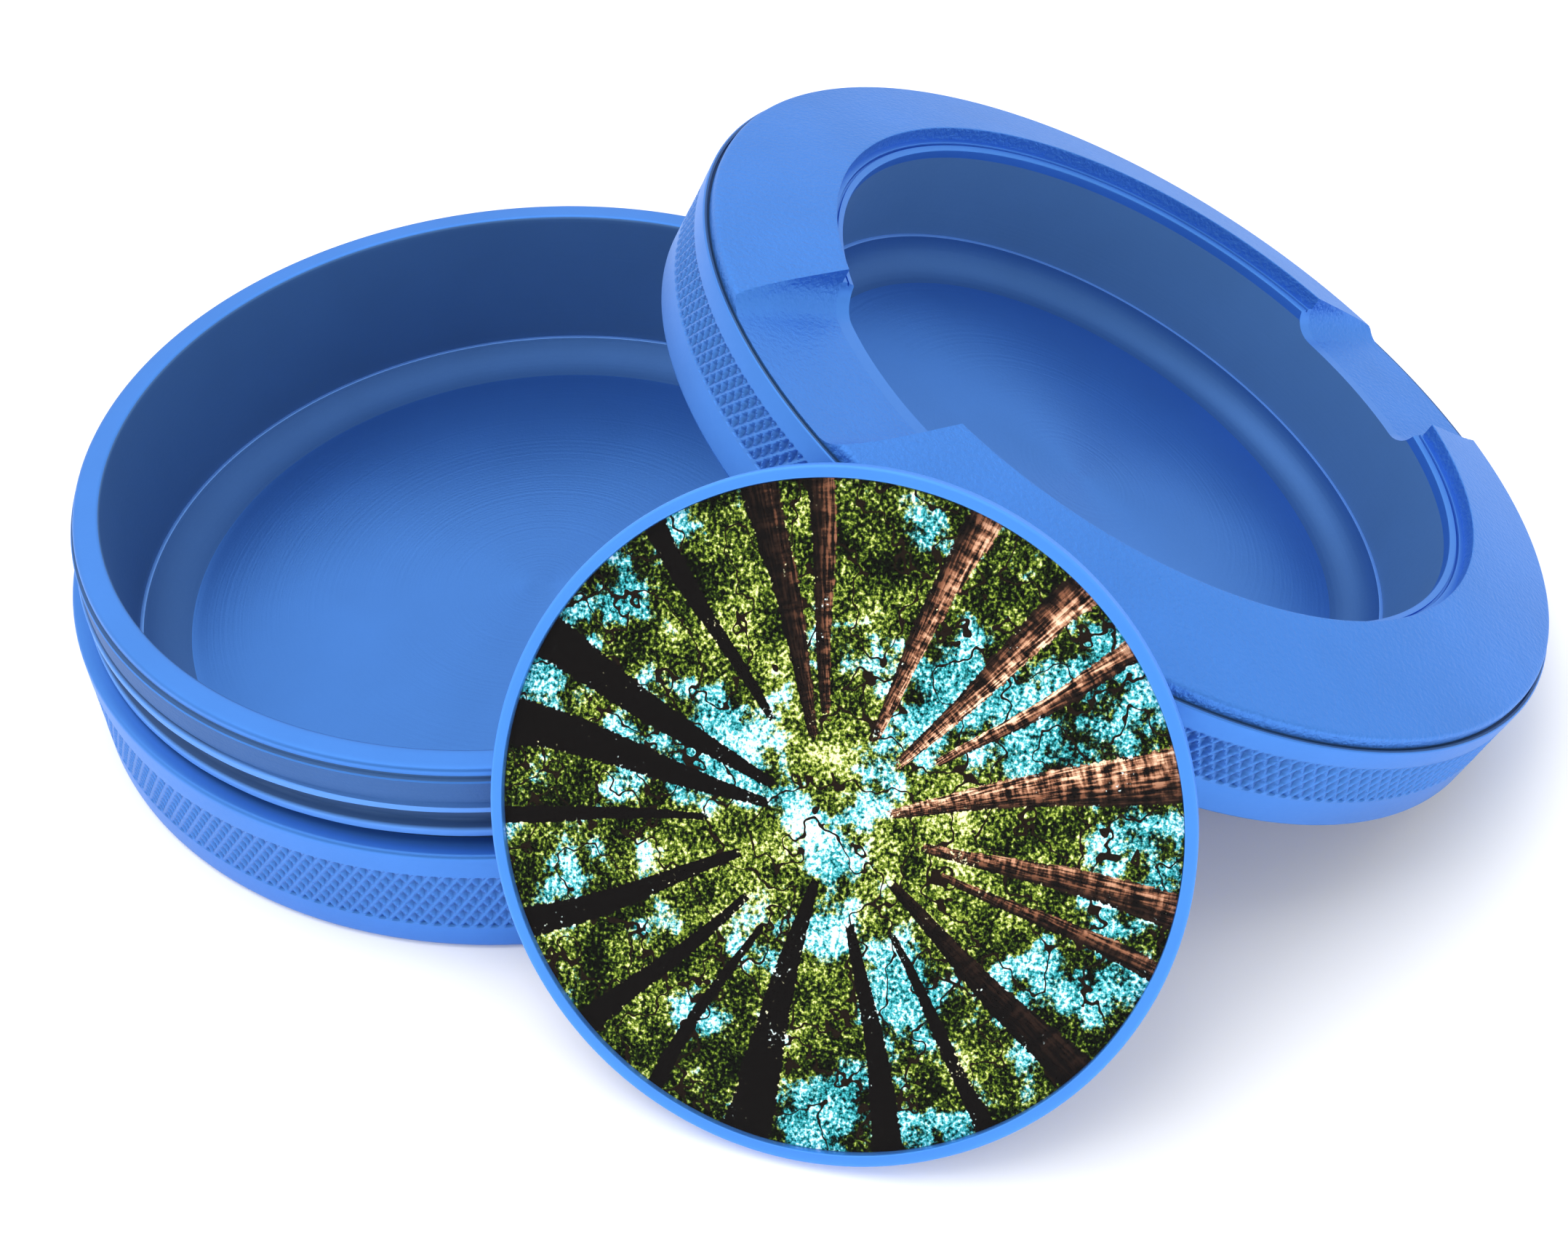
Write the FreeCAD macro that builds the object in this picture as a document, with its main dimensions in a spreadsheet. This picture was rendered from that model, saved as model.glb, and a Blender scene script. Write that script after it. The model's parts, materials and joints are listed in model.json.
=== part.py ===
"""Screw-top storage jar with a tray lid, and the printed disc that drops into the tray.

The jar stands on the table with its axis on +Z and the centre of its underside at the origin.
The lid is off: it leans on the jar's rim, towards +X, with the low side of its skirt on the table.
The disc stands in front, on the -Y side, and leans back on the jar's rim and the lid's ring.
All sizes are in millimetres.
"""
import FreeCAD, Part
import math
import os
import Sketcher

# Driving dimensions: alias, value, what it is. Lid heights are counted from the skirt's lower edge.
DRIVING = [
    ("body_dia", 90.0, "outside diameter of the jar and of the lid's ring"),
    ("jar_height", 21.2, "top of the jar's rim"),
    ("neck_height", 8.6, "height of the jar's neck above its full-diameter band"),
    ("foot_round", 0.8, "rounding under the jar"),
    ("edge_chamfer", 0.4, "small chamfer on turned edges"),
    ("jar_wall", 2.5, "wall of the jar at its rim"),
    ("jar_floor", 2.7, "thickness of the jar's floor"),
    ("cove_width", 5.2, "how far the jar's cove runs in to the flat floor"),
    ("cove_height", 2.3, "how far the jar's cove rises above the floor"),
    ("bowl_ledge", 0.35, "thin ledge between a straight wall and its cove"),
    ("collar_drop", 1.1, "from the top of the rim down to the smooth collar"),
    ("collar_height", 2.8, "height of the smooth collar"),
    ("rim_step", 0.4, "how far the collar stands out from the rim above it"),
    ("core_step", 0.6, "how far the collar stands out from the threads' core"),
    ("thread_pitch", 3.0, "rise of the thread in one turn"),
    ("thread_turns", 1.4, "turns of thread on the jar"),
    ("thread_depth", 0.9, "how far the jar's thread stands out from its core"),
    ("thread_root", 1.7, "width of a thread ridge at its foot"),
    ("thread_crest", 0.6, "width of a thread ridge at its top"),
    ("thread_gap", 0.15, "radial clearance between the ring's thread and the collar"),
    ("ring_wall", 1.0, "wall of the lid's ring"),
    ("ring_thread_depth", 0.65, "how far the ring's thread stands in from its bore"),
    ("ring_thread_low", 1.6, "middle of the ring's thread where it starts"),
    ("thread_runout", 0.65, "gap left between the ring's thread and the lip above it"),
    ("skirt_chamfer", 0.3, "chamfer on the skirt's lower edge"),
    ("skirt_gap", 0.8, "gap left between the skirt and the jar's shoulder when closed"),
    ("press_gap", 0.02, "radial gap of the tray pressed into the ring"),
    ("roof_thick", 0.8, "from the roof over the gasket to the top of the ring"),
    ("lip_height", 1.4, "height of the lip that is pressed into the ring"),
    ("lip_wall", 0.73, "wall of that lip"),
    ("ring_ledge", 0.6, "width of the ring's top that the flange leaves free"),
    ("flange_lip", 1.1, "upright edge of the flange"),
    ("flange_round", 0.5, "rounding of the flange's outer edge"),
    ("flange_rise", 2.8, "how far the flange rises from its edge to the mouth"),
    ("mouth_depth", 1.4, "from the top of the flange down to the upper ledge"),
    ("mouth_ledge", 0.7, "width of each of the two ledges in the tray's mouth"),
    ("mouth_step", 0.3, "drop from the upper ledge to the lower one"),
    ("tray_inset", 6.1, "room between the jar's bore and the tray's wall"),
    ("tray_wall", 1.8, "wall of the tray"),
    ("tray_floor", 2.4, "thickness of the tray's floor"),
    ("tray_drop", 4.6, "how far the tray reaches below the skirt"),
    ("tray_cove_width", 3.4, "how far the tray's cove runs in to its floor"),
    ("tray_cove_height", 3.4, "how far the tray's cove rises above its floor"),
    ("tray_corner", 4.2, "rounding under the tray"),
    ("gasket_thick", 0.8, "thickness of the flat gasket"),
    ("gasket_over", 1.1, "how far the gasket reaches in past the jar's bore"),
    ("gasket_gap", 0.1, "clearance between the gasket and the metal round it"),
    ("notch_width", 19.2, "width of the two rest notches"),
    ("notch_round", 2.7, "rounding in a notch's corners"),
    ("notch_floor", 0.1, "floor of the notches above the ring's top"),
    ("disc_gap", 0.45, "radial clearance of the disc on the tray's flat floor"),
    ("disc_base", 1.1, "thickness of the disc's plate"),
    ("disc_rim", 1.0, "width of the disc's raised rim"),
    ("disc_rim_height", 2.0, "height of the disc's raised rim"),
    ("print_thick", 0.2, "thickness of the printed sheet"),
    ("print_gap", 0.05, "gap round the printed sheet and the clear dome"),
    ("dome_edge", 0.5, "thickness of the clear dome at its edge"),
    ("dome_rise", 0.7, "how much thicker the dome is in the middle"),
    ("lean_gap", 0.15, "gap left where one loose piece leans on another"),
    ("disc_side", 24.3, "how far the disc's foot is to the right of the jar's axis"),
    ("lid_side", 7.4, "how far the lid's axis passes in front of the jar's axis"),
]
# Angles, in degrees.
LID_LEAN = 26.85        # the lid's axis from the vertical
LID_AZIMUTH = 3.5       # direction in which the lid slopes down, from +X
NOTCH_AZIMUTH = 25.0    # direction of the notches, from the lid's low side
DISC_LEAN = 56.0        # the disc's face from the horizontal
DISC_AZIMUTH = -16.0    # turn of the disc's face, from straight towards -Y
THREAD_START = 180.0    # where the jar's thread begins, from +X


class Length:
    """A length with its value in millimetres and the spreadsheet expression that gives it."""

    def __init__(self, value, text):
        self.value = value
        self.text = text

    def combine(self, other, sign, value):
        text = other.text if isinstance(other, Length) else repr(other)
        return Length(value, f"({self.text} {sign} {text})")

    def __add__(self, other):
        return self.combine(other, "+", self.value + other.value)

    def __sub__(self, other):
        return self.combine(other, "-", self.value - other.value)

    def __mul__(self, other):
        return self.combine(other, "*", self.value * getattr(other, "value", other))

    def __truediv__(self, other):
        return self.combine(other, "/", self.value / getattr(other, "value", other))

    def __neg__(self):
        return Length(-self.value, f"(0 - {self.text})")


class Sizes:
    """Every driving dimension as a Length, by its alias."""


ZERO = Length(0.0, "0")
doc = FreeCAD.newDocument("StorageJar")
sheet = doc.addObject("Spreadsheet::Sheet", "Sizes")
size = Sizes()
for row, (alias, value, note) in enumerate(DRIVING, start=1):
    sheet.set(f"A{row}", alias)
    sheet.set(f"B{row}", str(value))
    sheet.set(f"C{row}", note)
    sheet.setAlias(f"B{row}", alias)
    setattr(size, alias, Length(value, f"Sizes.{alias}"))
doc.recompute()

# Radii, worked inwards from the outside, so that a new diameter keeps every wall and clearance.
body_radius = size.body_dia / 2
skirt_bore = body_radius - size.ring_wall
ring_thread_crest = skirt_bore - size.ring_thread_depth
collar_radius = ring_thread_crest - size.thread_gap
rim_radius = collar_radius - size.rim_step
core_radius = collar_radius - size.core_step
jar_bore = rim_radius - size.jar_wall
flange_radius = body_radius - size.ring_ledge
spigot_radius = skirt_bore - size.press_gap
lip_bore = spigot_radius - size.lip_wall
tray_outside = jar_bore - size.tray_inset
tray_bore = tray_outside - size.tray_wall
mouth_ledge_in = tray_bore + size.mouth_ledge
mouth_radius = mouth_ledge_in + size.mouth_ledge
# Heights on the jar, from the table.
shoulder = size.jar_height - size.neck_height
collar_high = size.jar_height - size.collar_drop
collar_low = collar_high - size.collar_height
# Heights on the lid, from the skirt's lower edge. Closed, the rim of the jar meets the gasket.
roof_level = size.neck_height - size.skirt_gap + size.gasket_thick + size.gasket_gap
ring_height = roof_level + size.roof_thick
lip_level = roof_level - size.lip_height
flange_edge = ring_height + size.flange_lip
flange_inner = flange_edge + size.flange_rise
mouth_level = flange_inner - size.mouth_depth
notch_level = ring_height + size.notch_floor
# The ring's thread fills the room under the lip.
ring_turns = ((lip_level - size.ring_thread_low - size.thread_root / 2 - size.thread_runout)
              / size.thread_pitch)


def origin_feature(body, role):
    """One of a body's own origin planes or axes."""
    return next(feature for feature in body.Origin.OriginFeatures if feature.Role == role)


def place_point(sketch, geometry, end, across, up):
    """Ties one end of a sketch line or arc to its two coordinates."""
    for kind, axis, length in (("DistanceX", -2, across), ("DistanceY", -1, up)):
        if length is ZERO:
            sketch.addConstraint(Sketcher.Constraint("PointOnObject", geometry, end, axis))
            continue
        points = (-1, 1, geometry, end) if length.value >= 0 else (geometry, end, -1, 1)
        shown = length if length.value >= 0 else -length
        index = sketch.addConstraint(Sketcher.Constraint(kind, *points, shown.value))
        sketch.setExpression(f"Constraints[{index}]", shown.text)


def arc_through(start, end, radius, turn):
    """The arc from start to end that turns left (turn = 1) or right (turn = -1)."""
    half = (end - start) / 2
    rise = math.sqrt(max(radius ** 2 - half.Length ** 2, 0.0))
    left = FreeCAD.Vector(-half.y, half.x, 0).normalize()
    centre = start + half + left * rise * turn
    first, last = (start, end) if turn > 0 else (end, start)
    angles = [math.atan2(point.y - centre.y, point.x - centre.x) for point in (first, last)]
    circle = Part.Circle(centre, FreeCAD.Vector(0, 0, 1), radius)
    return Part.ArcOfCircle(circle, *angles)


def outline_sketch(body, plane, outline):
    """Draws a closed outline on one of the body's origin planes.

    Each corner is (across, up), or (across, up, radius, turn) where an arc leads to it.
    """
    sketch = body.newObject("Sketcher::SketchObject", body.Name + "_outline")
    sketch.AttachmentSupport = (origin_feature(body, plane), [""])
    sketch.MapMode = "FlatFace"
    corners = [FreeCAD.Vector(corner[0].value, corner[1].value, 0) for corner in outline]
    ends = []
    for number, corner in enumerate(outline):
        start, end = corners[number - 1], corners[number]
        if len(corner) == 2:
            index = sketch.addGeometry(Part.LineSegment(start, end), False)
            ends.append((index, 1, 2))
            continue
        radius, turn = corner[2:]
        index = sketch.addGeometry(arc_through(start, end, radius.value, turn), False)
        ends.append((index, 1, 2) if turn > 0 else (index, 2, 1))
        fixed = sketch.addConstraint(Sketcher.Constraint("Radius", index, radius.value))
        sketch.setExpression(f"Constraints[{fixed}]", radius.text)
    for number, (index, first, last) in enumerate(ends):
        following, next_first, _ = ends[(number + 1) % len(ends)]
        sketch.addConstraint(Sketcher.Constraint("Coincident", index, last, following, next_first))
        place_point(sketch, index, last, outline[number][0], outline[number][1])
    return sketch


def turned(label, outline):
    """A body turned on its own Z axis from an outline of (radius, height) corners."""
    body = doc.addObject("PartDesign::Body", label)
    body.Label = label
    sketch = outline_sketch(body, "XZ_Plane", outline)
    revolution = body.newObject("PartDesign::Revolution", label + "_turned")
    revolution.Profile = sketch
    revolution.ReferenceAxis = (sketch, ["V_Axis"])
    revolution.Angle = 360
    doc.recompute()
    return body


def add_thread(body, foot_radius, crest_radius, middle, turns):
    """Winds a ridge round the body, from foot_radius to crest_radius, starting at +X."""
    sunk = size.thread_gap if crest_radius.value > foot_radius.value else -size.thread_gap
    foot = foot_radius - sunk
    half_root = size.thread_root / 2
    half_crest = size.thread_crest / 2
    outline = [(foot, middle - half_root), (foot_radius, middle - half_root),
               (crest_radius, middle - half_crest), (crest_radius, middle + half_crest),
               (foot_radius, middle + half_root), (foot, middle + half_root)]
    sketch = outline_sketch(body, "XZ_Plane", outline)
    helix = body.newObject("PartDesign::AdditiveHelix", body.Name + "_thread")
    helix.Profile = sketch
    helix.ReferenceAxis = (sketch, ["V_Axis"])
    helix.Mode = "pitch-turns-angle"
    helix.setExpression("Pitch", size.thread_pitch.text)
    helix.Pitch = size.thread_pitch.value
    helix.Turns = turns.value
    helix.setExpression("Turns", turns.text)
    body.Tip = helix
    doc.recompute()


def make_jar():
    """Jar: floor, cove, straight bore, neck with a collar, and a full-diameter band below."""
    outer = body_radius
    chamfer = size.edge_chamfer
    bore = jar_bore
    cove_start = bore - size.bowl_ledge
    floor_edge = cove_start - size.cove_width
    cove_top = size.jar_floor + size.cove_height
    cove_radius = ((size.cove_width * size.cove_width + size.cove_height * size.cove_height)
                   / (size.cove_height * 2))
    jar = turned("jar_body", [
        (ZERO, ZERO), (outer - size.foot_round, ZERO), (outer, size.foot_round, size.foot_round, 1),
        (outer, shoulder - chamfer), (outer - chamfer, shoulder),
        (core_radius, shoulder), (core_radius, collar_low), (collar_radius, collar_low),
        (collar_radius, collar_high), (rim_radius, collar_high),
        (rim_radius, size.jar_height - chamfer),
        (rim_radius - chamfer, size.jar_height), (bore + chamfer, size.jar_height),
        (bore, size.jar_height - chamfer), (bore, cove_top), (cove_start, cove_top),
        (floor_edge, size.jar_floor, cove_radius, -1), (ZERO, size.jar_floor),
    ])
    middle = shoulder + size.thread_root / 2 - size.thread_gap
    add_thread(jar, core_radius, core_radius + size.thread_depth, middle, size.thread_turns)
    return jar


def make_lid_ring():
    """Lid's ring: the knurled outside, with the thread that takes the jar's neck."""
    outer = body_radius
    ring = turned("lid_ring", [
        (skirt_bore, ZERO), (outer - size.skirt_chamfer, ZERO), (outer, size.skirt_chamfer),
        (outer, ring_height), (skirt_bore, ring_height),
    ])
    add_thread(ring, skirt_bore, ring_thread_crest, size.ring_thread_low, ring_turns)
    return ring


def make_lid_tray():
    """Lid's tray, drawn from its own underside: sloping flange, stepped mouth and round bowl."""
    def level(height):
        return size.tray_drop + height

    bore = tray_bore
    wall = tray_outside
    spigot = spigot_radius
    flange = flange_radius
    cove_start = bore - size.bowl_ledge
    floor_edge = cove_start - size.tray_cove_width
    cove_top = size.tray_floor + size.tray_cove_height
    cove_radius = ((size.tray_cove_width * size.tray_cove_width
                    + size.tray_cove_height * size.tray_cove_height)
                   / (size.tray_cove_height * 2))
    edge = level(flange_edge)
    tray = turned("lid_tray", [
        (ZERO, ZERO), (wall - size.tray_corner, ZERO),
        (wall, size.tray_corner, size.tray_corner, 1),
        (wall, level(roof_level)), (lip_bore, level(roof_level)),
        (lip_bore, level(lip_level)), (spigot, level(lip_level)),
        (spigot, level(ring_height)), (flange, level(ring_height)),
        (flange, edge - size.flange_round),
        (flange - size.flange_round, edge, size.flange_round, 1),
        (mouth_radius, level(flange_inner)), (mouth_radius, level(mouth_level)),
        (mouth_ledge_in, level(mouth_level)),
        (mouth_ledge_in, level(mouth_level - size.mouth_step)),
        (bore, level(mouth_level - size.mouth_step)), (bore, cove_top),
        (cove_start, cove_top), (floor_edge, size.tray_floor, cove_radius, -1),
        (ZERO, size.tray_floor),
    ])
    half = size.notch_width / 2
    flat = half - size.notch_round
    low = level(notch_level)
    high = level(flange_inner) + size.notch_round
    notch = outline_sketch(tray, "YZ_Plane", [
        (flat, low), (half, low + size.notch_round, size.notch_round, 1), (half, high),
        (-half, high), (-half, low + size.notch_round), (-flat, low, size.notch_round, 1),
    ])
    pocket = tray.newObject("PartDesign::Pocket", "lid_tray_notches")
    pocket.Profile = notch
    pocket.Type = "ThroughAll"
    pocket.Midplane = True
    tray.Tip = pocket
    doc.recompute()
    return tray


def make_gasket():
    """Flat silicone ring, held in the lid's roof, that seals on the jar's rim."""
    outer = lip_bore - size.gasket_gap
    inner = jar_bore - size.gasket_over
    return turned("lid_gasket", [
        (inner, ZERO), (outer, ZERO), (outer, size.gasket_thick), (inner, size.gasket_thick),
    ])


def disc_radius():
    """The disc covers the tray's flat floor, inside the cove."""
    floor_edge = tray_bore - size.bowl_ledge - size.tray_cove_width
    return floor_edge - size.disc_gap


def make_disc():
    """Disc: a plate with a raised rim, the printed sheet on it, and the clear dome on top."""
    outer = disc_radius()
    inner = outer - size.disc_rim
    top = size.disc_rim_height
    small = size.edge_chamfer / 2
    base = turned("disc_base", [
        (ZERO, ZERO), (outer - small, ZERO), (outer, small), (outer, top - small),
        (outer - small, top), (inner, top), (inner, size.disc_base), (ZERO, size.disc_base),
    ])
    edge = inner - size.print_gap
    print_top = size.disc_base + size.print_thick
    printed = turned("disc_print", [
        (ZERO, size.disc_base), (edge, size.disc_base), (edge, print_top), (ZERO, print_top),
    ])
    rise = size.dome_rise
    dome_radius = (edge * edge + rise * rise) / (rise * 2)
    dome_low = print_top + size.dome_edge
    dome = turned("disc_dome", [
        (ZERO, print_top), (edge, print_top), (edge, dome_low),
        (ZERO, dome_low + rise, dome_radius, 1),
    ])
    return [base, printed, dome]


def place_lid(ring_body, tray_body, gasket_body):
    """Leans the lid: low edge of the skirt on the table, tray's underside on the jar's rim."""
    lean = math.radians(LID_LEAN)
    low_edge = (body_radius - size.skirt_chamfer).value
    centre_height = low_edge * math.sin(lean)
    rim_edge = (rim_radius - size.edge_chamfer).value
    rise = (size.jar_height.value - centre_height) * math.cos(lean)
    out = rim_edge + (rise + size.tray_drop.value + size.lean_gap.value) / math.sin(lean)
    swing = FreeCAD.Rotation(FreeCAD.Vector(0, 0, 1), LID_AZIMUTH)
    tilt = FreeCAD.Rotation(FreeCAD.Vector(0, 1, 0), LID_LEAN)
    centre = swing.multVec(FreeCAD.Vector(out, -size.lid_side.value, centre_height))
    turn = swing.multiply(tilt)
    axis = turn.multVec(FreeCAD.Vector(0, 0, 1))
    notch_turn = turn.multiply(FreeCAD.Rotation(FreeCAD.Vector(0, 0, 1), NOTCH_AZIMUTH))
    gasket_low = (roof_level - size.gasket_gap - size.gasket_thick).value
    ring_body.Placement = FreeCAD.Placement(centre, turn)
    tray_body.Placement = FreeCAD.Placement(centre - axis * size.tray_drop.value, notch_turn)
    gasket_body.Placement = FreeCAD.Placement(centre + axis * gasket_low, turn)
    print("lid axis", tuple(axis), "skirt centre", tuple(centre))
    return centre + axis * ring_height.value, axis


def reach(centre, axis, radius, direction):
    """How far a circle reaches along a direction."""
    across = math.sqrt(max(0.0, 1.0 - axis.dot(direction) ** 2))
    return centre.dot(direction) + radius * across


def place_disc(disc, ring_top, ring_axis, supports):
    """Leans the disc on the jar's rim or the lid, with its low edge on the table.

    It starts in front of the plane that touches both rims, then moves back until it is the
    lean_gap away from the nearest of the supports.
    """
    up = FreeCAD.Vector(0, 0, 1)
    turn = FreeCAD.Rotation(up, DISC_AZIMUTH).multiply(
        FreeCAD.Rotation(FreeCAD.Vector(1, 0, 0), DISC_LEAN))
    face = turn.multVec(up)
    slope = turn.multVec(FreeCAD.Vector(0, 1, 0))
    rim_low = FreeCAD.Vector(0, 0, (size.jar_height - size.edge_chamfer).value)
    furthest = max(reach(rim_low, up, rim_radius.value, face),
                   reach(ring_top, ring_axis, body_radius.value, face))
    foot_y = (furthest + size.lean_gap.value - size.disc_side.value * face.x) / face.y
    foot = FreeCAD.Vector(size.disc_side.value, foot_y, 0)
    lean = math.radians(DISC_LEAN)
    outer, small = disc_radius().value, size.edge_chamfer.value / 2
    lowest = max((outer - small) * math.sin(lean),
                 outer * math.sin(lean) - small * math.cos(lean))
    centre = foot + slope * (lowest / math.sin(lean))
    disc[0].Placement = FreeCAD.Placement(centre, turn)
    doc.recompute()
    leaning = disc[0].Shape.copy()
    for _ in range(80):
        room = min(leaning.distToShape(other.Shape)[0] for other in supports)
        room -= size.lean_gap.value
        if room < 0.005:
            break
        back = FreeCAD.Vector(0, room, 0)
        leaning.translate(back)
        centre += back
    for body in disc:
        body.Placement = FreeCAD.Placement(centre, turn)
    print("disc axis", tuple(face), "centre", tuple(centre))


def check_and_export(bodies):
    """Stops if anything in the document failed, then writes one STEP file for each piece."""
    for item in doc.Objects:
        if "Invalid" in item.State or "Error" in item.State:
            raise RuntimeError(f"{item.Name} failed: {item.State}")
    os.makedirs("parts", exist_ok=True)
    for body in bodies:
        shape = body.Shape
        if shape.isNull() or not shape.isValid() or len(shape.Solids) != 1:
            raise RuntimeError(f"{body.Label} is not one valid solid")
        shape.exportStep(f"parts/{body.Label}.step")
        print(f"{body.Label}: {shape.Volume / 1000:.2f} cm3, box {shape.BoundBox}")


jar = make_jar()
jar.Placement = FreeCAD.Placement(FreeCAD.Vector(0, 0, 0),
                                  FreeCAD.Rotation(FreeCAD.Vector(0, 0, 1), THREAD_START))
lid_ring = make_lid_ring()
lid_tray = make_lid_tray()
lid_gasket = make_gasket()
disc = make_disc()
ring_top, ring_axis = place_lid(lid_ring, lid_tray, lid_gasket)
place_disc(disc, ring_top, ring_axis, [jar, lid_ring, lid_tray])
doc.recompute()
check_and_export([jar, lid_ring, lid_tray, lid_gasket, *disc])
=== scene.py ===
# %% [markdown]
# # A screw-top jar, its tray lid and a printed disc
#
# The real object is turned from aluminium bar and anodised blue. The jar stands on the table, the lid
# leans on the jar's rim, and a small printed disc leans on both. Nearly every surface was made on a
# lathe, so nearly every mesh here is a profile swept round an axis, worked out as whole arrays.

# %% Load the frame
import bpy
import json
import math
import numpy as np
from mathutils import Matrix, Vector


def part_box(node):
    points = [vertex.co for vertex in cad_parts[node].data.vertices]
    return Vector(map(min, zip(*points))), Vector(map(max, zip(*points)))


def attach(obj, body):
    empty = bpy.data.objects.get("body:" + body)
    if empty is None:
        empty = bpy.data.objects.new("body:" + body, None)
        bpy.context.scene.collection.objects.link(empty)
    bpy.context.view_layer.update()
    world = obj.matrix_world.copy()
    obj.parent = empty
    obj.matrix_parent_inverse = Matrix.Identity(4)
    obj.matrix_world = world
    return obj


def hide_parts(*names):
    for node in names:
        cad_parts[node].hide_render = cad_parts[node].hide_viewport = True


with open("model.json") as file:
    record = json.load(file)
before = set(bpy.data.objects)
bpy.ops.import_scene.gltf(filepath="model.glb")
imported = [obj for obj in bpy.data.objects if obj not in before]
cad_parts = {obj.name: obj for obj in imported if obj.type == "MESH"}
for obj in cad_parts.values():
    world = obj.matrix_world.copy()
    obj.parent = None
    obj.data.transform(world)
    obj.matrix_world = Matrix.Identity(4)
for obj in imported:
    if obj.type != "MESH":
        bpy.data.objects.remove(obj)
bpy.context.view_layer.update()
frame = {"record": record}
joints = {joint["name"]: joint for joint in frame["record"]["behaviour"]["joints"]}
MM = 0.001

# %% [markdown]
# ## Where each piece stands
#
# A turned piece is drawn about its own axis and then placed. A place is an origin and three unit
# directions: two across the axis and the axis itself. The lid's axis comes from its turning joint,
# and the disc's from the joint that lifts it off, so the pieces land where the CAD has them.

# %% Places
def unit(vector):
    """A vector scaled to length one."""
    return np.asarray(vector, float) / np.linalg.norm(vector)


def leaning_place(origin, axis):
    """Origin and directions (downhill, across, axis) of a piece whose axis leans."""
    axis = unit(axis)
    level = unit([-axis[1], axis[0], 0.0])
    return np.asarray(origin, float), np.array([np.cross(level, axis), level, axis])


DISC_RIM_HEIGHT = 2.0
jar_place = (np.zeros(3), np.array([[-1.0, 0.0, 0.0], [0.0, -1.0, 0.0], [0.0, 0.0, 1.0]]))
lid_place = leaning_place(np.array(joints["lid_turn"]["pos_m"]) / MM, joints["lid_turn"]["axis"])
disc_middle = np.mean(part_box("disc_base"), axis=0) / MM
disc_axis = unit(joints["disc_lift"]["axis"])
disc_place = leaning_place(disc_middle - disc_axis * DISC_RIM_HEIGHT / 2, disc_axis)
print("lid at", np.round(lid_place[0], 1), "disc at", np.round(disc_place[0], 1))

# %% [markdown]
# ## Profiles
#
# A profile is a list of corners (radius, height) in millimetres. Machined edges are never perfectly
# sharp, and it is the small round on each one that catches the light, so a corner can be given a
# rounding: it is replaced by an arc that touches both of its sides.

# %% Profile tools
def rounded_corner(before, corner, after, radius, steps=4):
    """Points on the arc of that radius that touches both sides of a corner."""
    into, out = unit(before - corner), unit(after - corner)
    half = math.acos(np.clip(into @ out, -1.0, 1.0)) / 2
    centre = corner + unit(into + out) * radius / math.sin(half)
    first = corner + into * radius / math.tan(half) - centre
    last = corner + out * radius / math.tan(half) - centre
    share = np.linspace(0.0, 1.0, steps + 1)[:, None]
    swing = math.pi - 2 * half
    return centre + (np.sin((1 - share) * swing) * first + np.sin(share * swing) * last) / math.sin(swing)


def outline(corners, closed=False):
    """A profile from corners (radius, height) or (radius, height, rounding)."""
    points = [np.array(corner[:2], float) for corner in corners]
    rows = []
    for number, corner in enumerate(corners):
        is_end = not closed and number in (0, len(corners) - 1)
        if len(corner) == 2 or is_end:
            rows.append(points[number][None])
            continue
        after = points[(number + 1) % len(points)]
        rows.append(rounded_corner(points[number - 1], points[number], after, corner[2]))
    return np.vstack(rows)


def finer(profile, step):
    """The same profile with points added so that none are further apart than the step."""
    pieces = []
    for start, end in zip(profile[:-1], profile[1:]):
        count = max(1, math.ceil(np.linalg.norm(end - start) / step))
        pieces.append(start + (end - start) * np.arange(count)[:, None] / count)
    return np.vstack(pieces + [profile[-1:]])


def cove(start, end, steps=14):
    """The hollow arc from a wall to a flat floor, level with the floor where it meets it."""
    run, rise = start[0] - end[0], start[1] - end[1]
    radius = (run ** 2 + rise ** 2) / (2 * rise)
    swing = np.linspace(math.asin(run / radius), 0.0, steps)
    return np.stack([end[0] + radius * np.sin(swing), end[1] + radius * (1 - np.cos(swing))], axis=1)


# %% [markdown]
# ## From rows of points to a mesh
#
# Each row of a profile becomes a ring of points. Two rings with the same number of points are joined
# by quads. A knurled band needs six times as many points round as the smooth metal beside it, so
# where a fine ring meets a coarse one they are joined by fans of triangles, and a single point at the
# axis closes the end. The UV map holds the turn round the axis and the distance along the profile.

# %% Mesh tools
UV_ALONG = 0.01


def ring_faces(low, high, low_start, high_start, low_along, high_along):
    """Triangles between two rings, as vertex numbers and UVs. One ring may be finer than the other.

    The finer ring is walked step by step. On the other ring each end of a step takes the nearest
    point, so most steps there stay on one point, which makes a fan.
    """
    count = max(low, high)
    ends = np.arange(count + 1)
    on_low, on_high = ((ends + ratio // 2) // ratio for ratio in (count // low, count // high))
    corners = np.stack([low_start + on_low[:-1] % low, low_start + on_low[1:] % low,
                        high_start + on_high[1:] % high, high_start + on_high[:-1] % high], axis=1)
    turns = np.stack([on_low[:-1] / low, on_low[1:] / low, on_high[1:] / high, on_high[:-1] / high],
                     axis=1)
    along = np.broadcast_to([low_along, low_along, high_along, high_along], turns.shape)
    uv = np.stack([turns, along * UV_ALONG], axis=2)
    first, second = [0, 1, 2], [0, 2, 3]
    triangles = np.concatenate([corners[:, first], corners[:, second]])
    uvs = np.concatenate([uv[:, first], uv[:, second]])
    flat = (np.diff(np.sort(triangles, axis=1), axis=1) == 0).any(axis=1)
    return triangles[~flat], uvs[~flat]


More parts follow.
